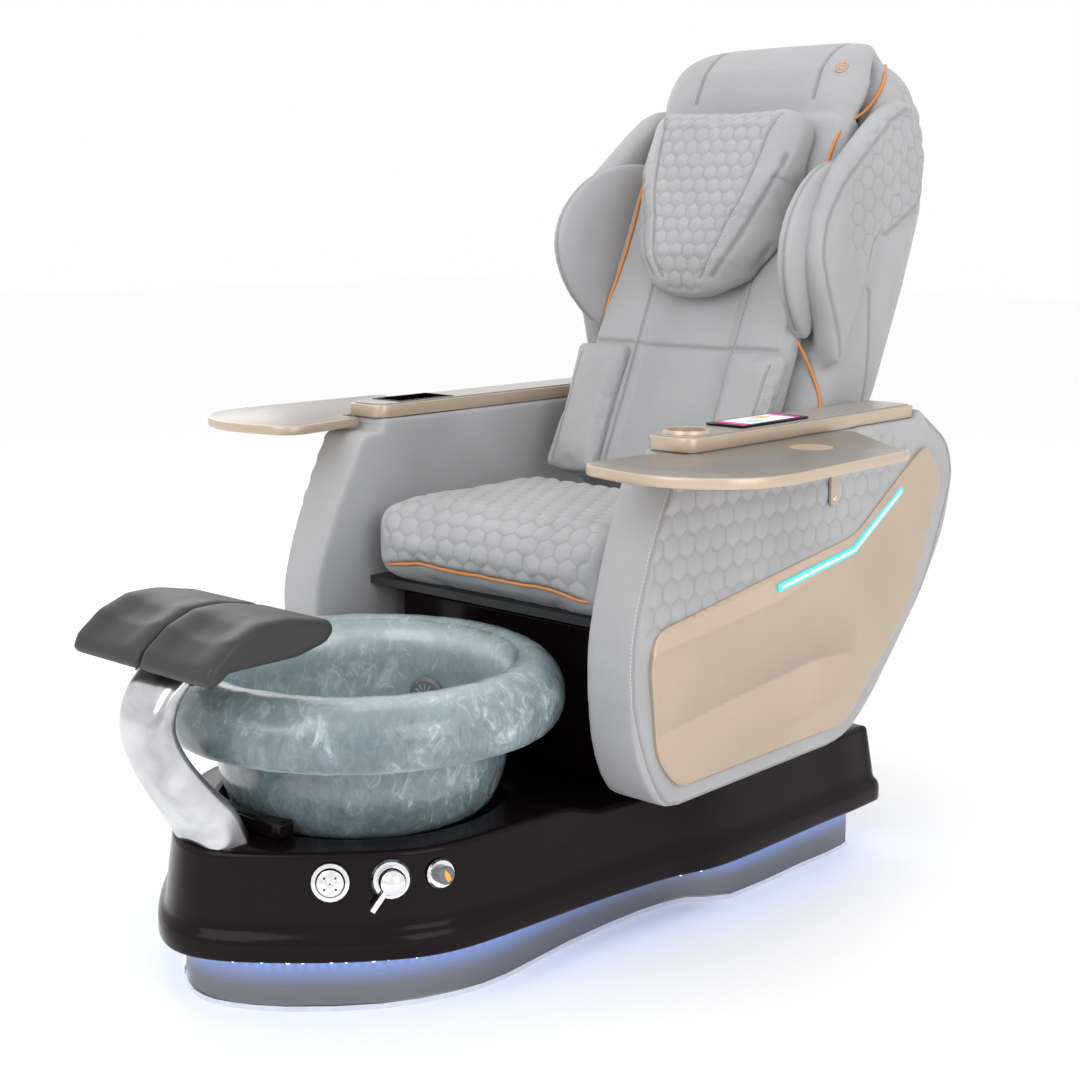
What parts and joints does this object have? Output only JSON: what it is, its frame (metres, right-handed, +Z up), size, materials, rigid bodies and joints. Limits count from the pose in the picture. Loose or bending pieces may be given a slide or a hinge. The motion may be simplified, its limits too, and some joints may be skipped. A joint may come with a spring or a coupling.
{
  "type": "pedicure spa chair",
  "caption": "Pedicure spa chair: moulded base with a round glass foot basin and padded footrest, sliding quilted massage chair with lit side panels and swing-out trays.",
  "frame": {"origin": "on the floor under the plinth, on its centre line", "axes": "+Z up, the chair faces -Y and the occupant's left is +X"},
  "size_m": [1.2702, 1.68, 1.4695],
  "materials": {
    "grey_leather": "soft light grey upholstery, quilted in places",
    "champagne_metal": "champagne metallic, satin",
    "gloss_black_shell": "high gloss brown black",
    "chrome": "polished",
    "brushed_steel": "brushed",
    "painted_steel": "black powder coat",
    "black_pad": "moulded soft pad",
    "rippled_glass": "cloudy teal grey, rippled",
    "grey_plastic": "satin",
    "blue_light": "glowing blue light strip",
    "cyan_light": "glowing cyan light strip"
  },
  "bodies": {
    "base": {"floor_pan": "painted_steel", "plinth_trim": "chrome", "plinth_skirt": "brushed_steel", "plinth_light_strip": "blue_light", "base_shell": "gloss_black_shell", "basin": "rippled_glass", "basin_drain": "chrome", "basin_jet_cover": "grey_plastic", "jet_motor": "grey_plastic", "drain_pump": "grey_plastic", "slide_motor": "painted_steel", "pedestal_box": "gloss_black_shell", "slide_rail_left": "brushed_steel", "slide_rail_right": "brushed_steel", "spray_dock": "chrome", "mixer_escutcheon": "chrome", "diverter_bezel": "chrome", "arm_mount_block": "gloss_black_shell", "footrest_arm": "chrome", "footrest_pin": "brushed_steel"},
    "spray": {"spray_head": "chrome"},
    "mixer": {"mixer_lever": "chrome"},
    "diverter": {"diverter_knob": "grey_plastic"},
    "footrest": {"footrest_plate": "painted_steel", "foot_pad_left": "black_pad", "foot_pad_right": "black_pad"},
    "chair": {"seat_frame": "painted_steel", "seat_cushion": "grey_leather", "recline_motor": "painted_steel", "arm_body_left": "grey_leather", "arm_body_right": "grey_leather", "side_panel_left": "champagne_metal", "side_panel_right": "champagne_metal", "side_light_left": "cyan_light", "side_light_right": "cyan_light", "arm_cap_left": "champagne_metal", "arm_cap_right": "champagne_metal", "arm_top_left": "grey_plastic", "arm_top_right": "grey_plastic", "cup_holder": "champagne_metal", "touch_screen": "gloss_black_shell", "phone_pocket": "gloss_black_shell", "tray_bracket_left": "champagne_metal", "tray_bracket_right": "champagne_metal"},
    "tray_swing_left": {"tray_left": "champagne_metal", "tray_disc_left": "champagne_metal"},
    "tray_swing_right": {"tray_right": "champagne_metal", "tray_disc_right": "champagne_metal"},
    "backrest": {"back_shell": "grey_leather", "back_pad": "grey_leather", "head_cover": "grey_leather", "head_pillow": "grey_leather", "lumbar_pad_left": "grey_leather", "lumbar_pad_right": "grey_leather", "shoulder_wing_left": "grey_leather", "shoulder_wing_right": "grey_leather", "back_frame": "painted_steel"},
    "massage": {"massage_carriage": "grey_plastic", "massage_roller_left": "black_pad", "massage_roller_right": "black_pad"}
  },
  "joints": [
    {"name": "chair_slide", "type": "slide", "parent": "base", "child": "chair", "axis": [0, 1, 0], "range_m": [-0.02, 0.12]},
    {"name": "backrest_recline", "type": "hinge", "parent": "chair", "child": "backrest", "pos_m": [0, 0.48, 0.6], "axis": [-1, 0, 0], "range_deg": [-4, 30]},
    {"name": "massage_travel", "type": "slide", "parent": "backrest", "child": "massage", "axis": [0, 0.4067, 0.9135], "range_m": [-0.2, 0.36]},
    {"name": "tray_left_swing", "type": "hinge", "parent": "chair", "child": "tray_swing_left", "pos_m": [0.436, 0.424, 0.78], "axis": [0, 0, 1], "range_deg": [0, 100]},
    {"name": "tray_right_swing", "type": "hinge", "parent": "chair", "child": "tray_swing_right", "pos_m": [-0.436, 0.424, 0.78], "axis": [0, 0, -1], "range_deg": [0, 100]},
    {"name": "footrest_tilt", "type": "hinge", "parent": "base", "child": "footrest", "pos_m": [0, -0.662, 0.524], "axis": [-1, 0, 0], "range_deg": [-4, 20]},
    {"name": "mixer_turn", "type": "hinge", "parent": "base", "child": "mixer", "pos_m": [0.25054, -0.47017, 0.20978], "axis": [0.7859, -0.5937, 0.173], "range_deg": [-50, 50]},
    {"name": "diverter_turn", "type": "hinge", "parent": "base", "child": "diverter", "pos_m": [0.28721, -0.40233, 0.20961], "axis": [0.9303, -0.3235, 0.173], "range_deg": [-45, 45]},
    {"name": "spray_pull", "type": "slide", "parent": "base", "child": "spray", "axis": [0.7024, -0.6904, 0.173], "range_m": [0, 0.12]}
  ]
}
